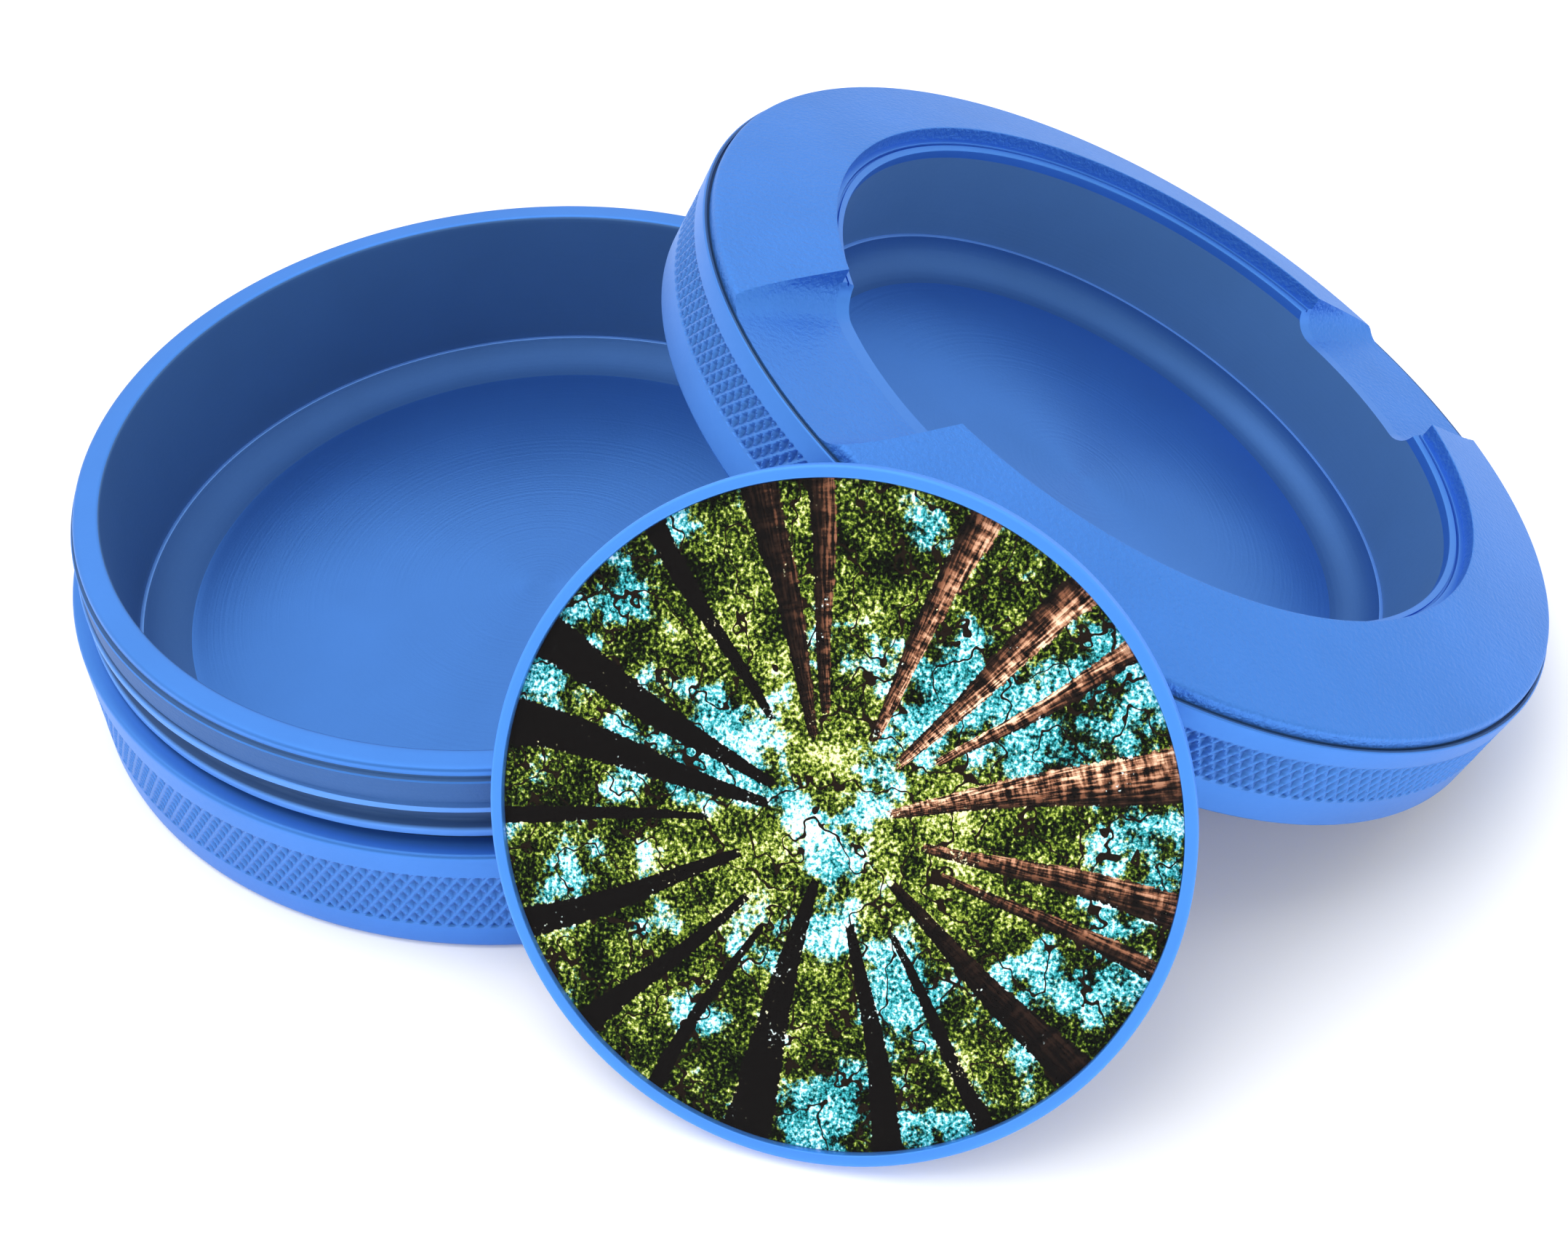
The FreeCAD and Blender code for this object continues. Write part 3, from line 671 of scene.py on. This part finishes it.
GASKET_OUTER = LIP_BORE - 0.1
GASKET_INNER = 39.2
GASKET_LOW = 7.8
GASKET_HIGH = 8.6
gasket_profile = outline([(GASKET_INNER, GASKET_LOW, 0.2), (GASKET_OUTER, GASKET_LOW, 0.2),
                          (GASKET_OUTER, GASKET_HIGH, 0.2), (GASKET_INNER, GASKET_HIGH, 0.2)], True)
gasket_rings = rings_from(*lathe_grid(gasket_profile, KNURL_COUNT), distances(gasket_profile))
gasket = turned_piece("gasket_ring", gasket_rings, lid_place, [silicone()], closed=True)
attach(gasket, "gasket")
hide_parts("lid_gasket")

# %% [markdown]
# ## Disc
#
# The disc is a shallow aluminium plate with a narrow raised rim. A printed sheet lies in it, and a
# pool of clear resin, which sets slightly domed, covers the print.

# %% Disc plate and dome
DISC_RADIUS = 28.2
DISC_INNER = 27.2
PRINT_LOW = 1.1
PRINT_HIGH = 1.3
PRINT_RADIUS = 27.15
DOME_EDGE = 1.8
DOME_RISE = 0.7
RESIN_IOR = 1.28
SQUARE_ON_SHARE = ((RESIN_IOR - 1) / (RESIN_IOR + 1)) ** 2

base_profile = finer(outline([
    (0, 0), (DISC_RADIUS, 0, 0.25), (DISC_RADIUS, DISC_RIM_HEIGHT, 0.3),
    (DISC_INNER, DISC_RIM_HEIGHT, 0.12), (DISC_INNER, PRINT_LOW), (0, PRINT_LOW)]), 6.0)
disc_base = turned_piece("disc_plate", rings_from(*lathe_grid(base_profile, KNURL_COUNT),
                                                  distances(base_profile)), disc_place, [disc_blue])
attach(disc_base, "disc")
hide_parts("disc_base")


def clear_resin():
    """Doming resin: clear and glossy, with the faint waviness of a poured surface.

    The layer is thin, so it hardly bends what is seen through it: light either passes straight
    through or is reflected. The reflected share is Schlick's formula, F0 + (1 - F0) facing^5, where
    facing is 0 square on and 1 along the surface. It is the same from both sides, so the underside
    never turns into a mirror, as it would with the Fresnel node. Resin's own index is about 1.5. It is
    set lower here because the studio is white all round, and would fog the print more than a real one.
    """
    material, tree, shader = new_material("doming_resin_clear")
    where = add(tree, "TexCoord")
    wave = add(tree, "TexNoise", {"Vector": where.outputs["Object"], "Scale": 1 / (7 * MM)})
    bump = add(tree, "Bump", {"Height": wave.outputs["Fac"], "Distance": 0.03 * MM})
    tree.links.new(bump.outputs["Normal"], shader.inputs["Normal"])
    shader.inputs["Base Color"].default_value = linear("#FFFFFF")
    shader.inputs["Metallic"].default_value = 1.0
    shader.inputs["Roughness"].default_value = 0.12
    facing = add(tree, "LayerWeight", {"Blend": 0.5, "Normal": bump.outputs["Normal"]})
    fifth = add(tree, "Math", {0: facing.outputs["Facing"], 1: 5.0}, operation="POWER")
    share = add(tree, "MapRange", {"Value": fifth.outputs["Value"], "To Min": SQUARE_ON_SHARE})
    clear = add(tree, "BsdfTransparent")
    mixed = add(tree, "MixShader", {0: share.outputs["Result"], 1: clear.outputs["BSDF"],
                                    2: shader.outputs["BSDF"]})
    tree.links.new(mixed.outputs["Shader"], tree.nodes["Material Output"].inputs["Surface"])
    return material


def bonded_face():
    """The resin's underside, which is wetted onto the print, so nothing is reflected there."""
    material, tree, shader = new_material("doming_resin_bonded_face")
    clear = add(tree, "BsdfTransparent")
    tree.links.new(clear.outputs["BSDF"], tree.nodes["Material Output"].inputs["Surface"])
    tree.nodes.remove(shader)
    return material


swing = np.linspace(1, 0, 24)
crown = np.stack([PRINT_RADIUS * swing, DOME_EDGE + DOME_RISE * (1 - swing ** 2)], axis=1)
dome_profile = np.vstack([[[0, PRINT_HIGH + 0.01], [PRINT_RADIUS, PRINT_HIGH + 0.01]], crown])
under_dome = (dome_profile[:, 1] < PRINT_HIGH + 0.02).astype(int)
dome = turned_piece("disc_clear_dome", rings_from(*lathe_grid(dome_profile, KNURL_COUNT),
                                                  distances(dome_profile), under_dome),
                    disc_place, [clear_resin(), bonded_face()])
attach(dome, "disc")
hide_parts("disc_dome")

# %% [markdown]
# ## Printed sheet
#
# The print is a generic view straight up between tall trees, and its layout is worked out by formula.
# Trees that stand upright all run to one vanishing point, so the mesh is a fan of rays from the
# middle: a trunk is then a range of rays, and its edges are clean. The mesh carries how much of a
# point is trunk, how sunlit it is and how dense the leaves are, and noise nodes draw bark and leaves.

# %% Trunks of the print
# The trunks are spread round the middle by a seeded draw, a thicker one starting nearer to it, and
# each is lit as far as it faces the sun. Angles are in radians, starts a share of the radius.
PRINT_SUN = math.radians(40.0)
TRUNK_COUNT = 19
RAYS = 720
STEPS = 100
draw = np.random.default_rng(11)
trunk_toward = (np.arange(TRUNK_COUNT) + draw.uniform(-0.3, 0.3, TRUNK_COUNT)) * 2 * np.pi / TRUNK_COUNT
trunk_half = np.radians(draw.uniform(1.4, 5.4, TRUNK_COUNT))
trunk_start = 0.45 - 0.06 * np.degrees(trunk_half)
trunk_light = 0.05 + 0.8 * np.clip(np.cos(trunk_toward - PRINT_SUN), 0, 1)


def print_grid():
    """Points of the print, with their direction and distance: rays run from the middle to the edge."""
    direction = np.arange(RAYS) * 2 * np.pi / RAYS
    distance = np.linspace(0, PRINT_RADIUS, STEPS + 1)[1:, None] * np.ones(RAYS)
    flat = distance[..., None] * np.stack([np.cos(direction), np.sin(direction)], axis=1)
    return flat, np.broadcast_to(direction, distance.shape), distance


def trunk_cover(direction, distance):
    """How much of each point is trunk, and how sunlit it is. A trunk is brightest on its sunny side."""
    cover, light = np.zeros(direction.shape), np.zeros(direction.shape)
    trunks = zip(trunk_toward, trunk_half, trunk_start, trunk_light)
    for number, (toward, half, start, sunlit) in enumerate(trunks):
        sway = math.radians(0.8) * np.sin(distance / 4.0 + number * 1.7)
        off = (direction - toward + sway + np.pi) % (2 * np.pi) - np.pi
        across = off / half
        begins = start * PRINT_RADIUS
        trunk = np.clip((1 - np.abs(across)) * 4, 0, 1) * np.clip((distance - begins) / 1.5, 0, 1)
        sunny_side = np.sign(np.sin(PRINT_SUN - toward))
        shade = sunlit * np.clip(0.75 + 0.55 * across * sunny_side, 0, 1)
        light = np.where(trunk > cover, shade, light)
        cover = np.maximum(cover, trunk)
    return cover, light


flat, direction, distance = print_grid()
cover, light = trunk_cover(direction, distance)
# The leaves are thin over the middle and in three evenly spaced sectors, where the sky shows.
leafy = 0.57 - 0.22 * np.exp(-(distance / 4.0) ** 2) + 0.06 * np.cos(3 * direction + 1.0)
glow = 0.05 * np.exp(-(distance / 13.0) ** 2) - 0.05 * (distance / PRINT_RADIUS)
print("share of the print that is trunk:", round(float(cover.mean()), 2))

# %% Print mesh
points = np.vstack([np.zeros((1, 3)),
                    np.dstack([flat, np.zeros((STEPS, RAYS, 1))]).reshape(-1, 3)])
row, column = np.meshgrid(np.arange(STEPS - 1), np.arange(RAYS), indexing="ij")
after = (column + 1) % RAYS
near, far = 1 + row * RAYS + column, 1 + (row + 1) * RAYS + column
far_after, near_after = 1 + (row + 1) * RAYS + after, 1 + row * RAYS + after
ray = np.arange(RAYS)
next_ray = (ray + 1) % RAYS
core = np.stack([np.zeros(RAYS, int), 1 + ray, 1 + next_ray], axis=1)
top = np.vstack([core, np.stack([near, far, far_after], -1).reshape(-1, 3),
                 np.stack([near, far_after, near_after], -1).reshape(-1, 3)])
edge, edge_after = 1 + (STEPS - 1) * RAYS + ray, 1 + (STEPS - 1) * RAYS + next_ray
below, below_after = len(points) + ray, len(points) + next_ray
underside = points[edge] - [0, 0, PRINT_HIGH - PRINT_LOW]
middle = np.array([[0, 0, PRINT_LOW - PRINT_HIGH]])
side = np.vstack([np.stack([edge, below, below_after], -1), np.stack([edge, below_after, edge_after], -1),
                  np.stack([below, np.full(RAYS, len(points) + RAYS), below_after], -1)])
triangles = np.vstack([top, side])
points = np.vstack([points, underside, middle]) + [0, 0, PRINT_HIGH]
# The place's first direction runs downhill, so the print's up is the other way along it.
points = np.stack([-points[:, 1], points[:, 0], points[:, 2]], axis=1)
corner_turn = points[triangles]
uvs = corner_turn[..., :2] / (2 * PRINT_RADIUS) + 0.5

# %% Print attributes
def point_attribute(mesh, name, values):
    """Stores one number for each point of a mesh."""
    mesh.attributes.new(name, "FLOAT", "POINT").data.foreach_set("value", np.asarray(values, np.float32))


# %% Print material
def printed_forest():
    """Printed vinyl: matte ink. Bark runs along the trunks, leaves are speckled, sky shows between.

    A noise scale is the number of cells across the print's 54 mm: 165 gives leaves of 0.33 mm, 14
    clumps of 4 mm, 5 patches of 11 mm. The leaves are drawn a little coarse, so that they show.
    """
    material, tree, shader = new_material("printed_vinyl_sheet")
    place = add(tree, "UVMap", uv_map="Turned").outputs["UV"]
    fan = add(tree, "CombineXYZ", {
        "X": add(tree, "Attribute", attribute_name="fan_turn").outputs["Fac"],
        "Y": add(tree, "Attribute", attribute_name="fan_depth").outputs["Fac"]}).outputs["Vector"]
    trunk = add(tree, "Attribute", attribute_name="trunk").outputs["Fac"]
    sunlit = add(tree, "Attribute", attribute_name="sunlit").outputs["Fac"]
    leafy = add(tree, "Attribute", attribute_name="leafy").outputs["Fac"]

    bands = add(tree, "Mapping", {"Vector": fan, "Scale": (9.0, 30.0, 1.0)}).outputs["Vector"]
    bark = add(tree, "TexNoise", {"Vector": bands, "Scale": 1.0, "Detail": 5.0, "Roughness": 0.65})
    furrow = add(tree, "Mapping", {"Vector": fan, "Scale": (90.0, 7.0, 1.0)}).outputs["Vector"]
    streak = add(tree, "TexNoise", {"Vector": furrow, "Scale": 1.0, "Detail": 3.0})
    rough_bark = add(tree, "Math", {0: bark.outputs["Fac"], 1: streak.outputs["Fac"]}, operation="ADD")
    rough_bark = add(tree, "MapRange", {"Value": rough_bark.outputs["Value"], "From Min": 0.82,
                                        "From Max": 1.15, "To Max": 1.15})
    lit = add(tree, "Math", {0: rough_bark.outputs["Result"], 1: sunlit}, operation="MULTIPLY")
    bark_colour = ramp(tree, lit.outputs["Value"], [
        (0.08, "#0C0A0A"), (0.28, "#2C1E18"), (0.5, "#8A5A42"), (0.75, "#D8A584"), (0.95, "#FFE3C4")])

    clumps = add(tree, "TexNoise", {"Vector": place, "Scale": 14.0, "Detail": 10.0, "Roughness": 0.72})
    leaves = add(tree, "TexNoise", {"Vector": place, "Scale": 165.0, "Detail": 4.0, "Roughness": 0.6})
    patches = add(tree, "TexNoise", {"Vector": place, "Scale": 5.0, "Detail": 3.0})
    twigs = add(tree, "TexNoise", {"Vector": add(tree, "Mapping", {
        "Vector": place, "Location": (3.0, 1.0, 0.0)}).outputs["Vector"], "Scale": 9.0, "Detail": 3.0})
    depth = add(tree, "Math", {0: leaves.outputs["Fac"], 1: clumps.outputs["Fac"]}, operation="ADD")
    glow = add(tree, "Attribute", attribute_name="glow").outputs["Fac"]
    depth = add(tree, "Math", {0: depth.outputs["Value"], 1: glow}, operation="ADD")
    depth = add(tree, "MapRange", {"Value": depth.outputs["Value"], "From Min": 0.7, "From Max": 1.28})
    green = ramp(tree, depth.outputs["Result"], [
        (0.3, "#030503"), (0.44, "#1B2A0C"), (0.56, "#566F1C"), (0.68, "#A6B748"), (0.84, "#FFF6C4")])
    sky = ramp(tree, depth.outputs["Result"], [(0.26, "#04191A"), (0.42, "#1B8388"), (0.56, "#52C2CE"),
                                               (0.76, "#E9FBFC")])
    open_sky = add(tree, "Math", {0: patches.outputs["Fac"], 1: leafy}, operation="SUBTRACT")
    speckle = add(tree, "Math", {0: clumps.outputs["Fac"], 1: 0.5}, operation="SUBTRACT")
    open_sky = add(tree, "Math", {0: speckle.outputs["Value"], 1: 1.1, 2: open_sky.outputs["Value"]},
                   operation="MULTIPLY_ADD")
    open_sky = add(tree, "MapRange", {"Value": open_sky.outputs["Value"], "From Min": -0.02,
                                      "From Max": 0.03})
    canopy = add(tree, "Mix", {"Factor": open_sky.outputs["Result"], "A": green, "B": sky},
                 data_type="RGBA").outputs["Result"]
    off_twig = add(tree, "Math", {0: twigs.outputs["Fac"], 1: 0.5, 2: 0.008}, operation="COMPARE")
    canopy = add(tree, "Mix", {"Factor": off_twig.outputs["Value"], "A": canopy,
                               "B": linear("#1A120D")}, data_type="RGBA").outputs["Result"]
    hanging = add(tree, "Math", {0: depth.outputs["Result"], 1: -1.1, 2: trunk},
                  operation="MULTIPLY_ADD")
    in_front = add(tree, "MapRange", {"Value": hanging.outputs["Value"], "From Min": -0.02,
                                      "From Max": 0.06})
    picture = add(tree, "Mix", {"Factor": in_front.outputs["Result"], "A": canopy, "B": bark_colour},
                  data_type="RGBA").outputs["Result"]
    tree.links.new(picture, shader.inputs["Base Color"])
    shader.inputs["Roughness"].default_value = 0.6
    shader.inputs["Specular IOR Level"].default_value = 0.0
    return material


# %% Printed sheet
sheet = make_mesh("disc_printed_sheet", points, triangles, uvs, disc_place, [printed_forest()],
                  np.zeros(len(triangles)))


def over_sheet(values):
    """Values for the top of the sheet, repeated for its edge and underside."""
    values = values.ravel()
    return np.concatenate([[values[0]], values, values[-RAYS:], [values[-1]]])


for name, values in [("trunk", cover), ("sunlit", light), ("leafy", leafy), ("glow", glow),
                     ("fan_turn", direction), ("fan_depth", np.log(distance))]:
    point_attribute(sheet.data, name, over_sheet(values))
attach(sheet, "disc")
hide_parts("disc_print")

# %% [markdown]
# ## Floor, light and camera
#
# The object stands on white paper in a white studio. Four soft area lights shape it: a softbox
# overhead, which the metal mirrors, and three that light the surfaces but are kept out of the
# reflections, one more overhead and two from the front. Metal shows its surroundings, so the world
# is white behind and above, and falls to half strength in front, which gives the walls that look
# that way their darker tone.

# %% Floor
FLOOR_HALF = 12
FLOOR_DROP = 0.02 * MM
floor_mesh = bpy.data.meshes.new("white_floor")
corners = [(-FLOOR_HALF, -FLOOR_HALF, 0), (FLOOR_HALF, -FLOOR_HALF, 0),
           (FLOOR_HALF, FLOOR_HALF, 0), (-FLOOR_HALF, FLOOR_HALF, 0)]
floor_mesh.from_pydata(corners, [], [(0, 1, 2, 3)])
floor = bpy.data.objects.new("white_floor", floor_mesh)
floor.location.z = -FLOOR_DROP
bpy.context.collection.objects.link(floor)
paper, tree, shader = new_material("white_paper_sweep")
shader.inputs["Base Color"].default_value = linear("#F4F5F6")
shader.inputs["Roughness"].default_value = 0.9
shader.inputs["Specular IOR Level"].default_value = 0.1
floor_mesh.materials.append(paper)

# %% Lights and world
def soft_light(name, place, aim, size, power, mirrored=True):
    """A square area light at a place in metres, aimed at a point. Metal may mirror it or not."""
    lamp = bpy.data.lights.new(name, "AREA")
    lamp.shape = "SQUARE"
    lamp.size = size
    lamp.energy = power
    light = bpy.data.objects.new(name, lamp)
    away = unit(np.subtract(place, aim))
    side = unit(np.cross([0, 0, 1], away))
    basis = np.eye(4)
    basis[:3, 0], basis[:3, 1], basis[:3, 2], basis[:3, 3] = side, np.cross(away, side), away, place
    light.matrix_world = Matrix(basis.tolist())
    light.visible_glossy = mirrored
    bpy.context.collection.objects.link(light)
    return light


GROUP_MIDDLE = (0.03, 0.0, 0.0)
soft_light("overhead_softbox", (-0.1, 0.15, 0.9), GROUP_MIDDLE, 0.9, 1.4)
soft_light("overhead_fill", (-0.35, 0.0, 1.0), GROUP_MIDDLE, 0.8, 5.0, mirrored=False)
soft_light("front_softbox", (-0.75, -0.55, 0.55), GROUP_MIDDLE, 0.5, 2.5, mirrored=False)
soft_light("fill_softbox", (0.45, -0.8, 0.4), (0.06, -0.03, 0.0), 0.7, 4.0, mirrored=False)
world = bpy.data.worlds.new("white_studio")
world.use_nodes = True
tree = world.node_tree
# On a world, Generated is the direction looked in, so Y runs from -1 at the front to 1 at the back.
back = add(tree, "SeparateXYZ", {"Vector": add(tree, "TexCoord").outputs["Generated"]}).outputs["Y"]
level = add(tree, "MapRange", {"Value": back, "From Min": -0.75, "From Max": 0.0, "To Min": 0.5,
                               "To Max": 1.0}, interpolation_type="SMOOTHSTEP")
tree.links.new(level.outputs["Result"], tree.nodes["Background"].inputs["Strength"])
tree.nodes["Background"].inputs["Color"].default_value = linear("#FFFFFF")
bpy.context.scene.world = world
bpy.context.scene.view_settings.view_transform = "Standard"

# %% Camera
CAMERA_PLACE = np.array([0.0251236, -0.157622, 0.147014])
CAMERA_PITCH = math.radians(43.95)
CAMERA_ROLL = math.radians(-2.07)
forward = np.array([0, math.cos(CAMERA_PITCH), -math.sin(CAMERA_PITCH)])
level_up = np.array([0, math.sin(CAMERA_PITCH), math.cos(CAMERA_PITCH)])
level_right = np.array([1.0, 0, 0])
right = math.cos(CAMERA_ROLL) * level_right + math.sin(CAMERA_ROLL) * level_up
up = -math.sin(CAMERA_ROLL) * level_right + math.cos(CAMERA_ROLL) * level_up
lens = bpy.data.cameras.new("camera")
lens.lens = 47.2
lens.clip_start = 0.01
camera = bpy.data.objects.new("camera", lens)
basis = np.eye(4)
basis[:3, 0], basis[:3, 1], basis[:3, 2], basis[:3, 3] = right, up, -forward, CAMERA_PLACE
camera.matrix_world = Matrix(basis.tolist())
bpy.context.collection.objects.link(camera)
bpy.context.scene.camera = camera
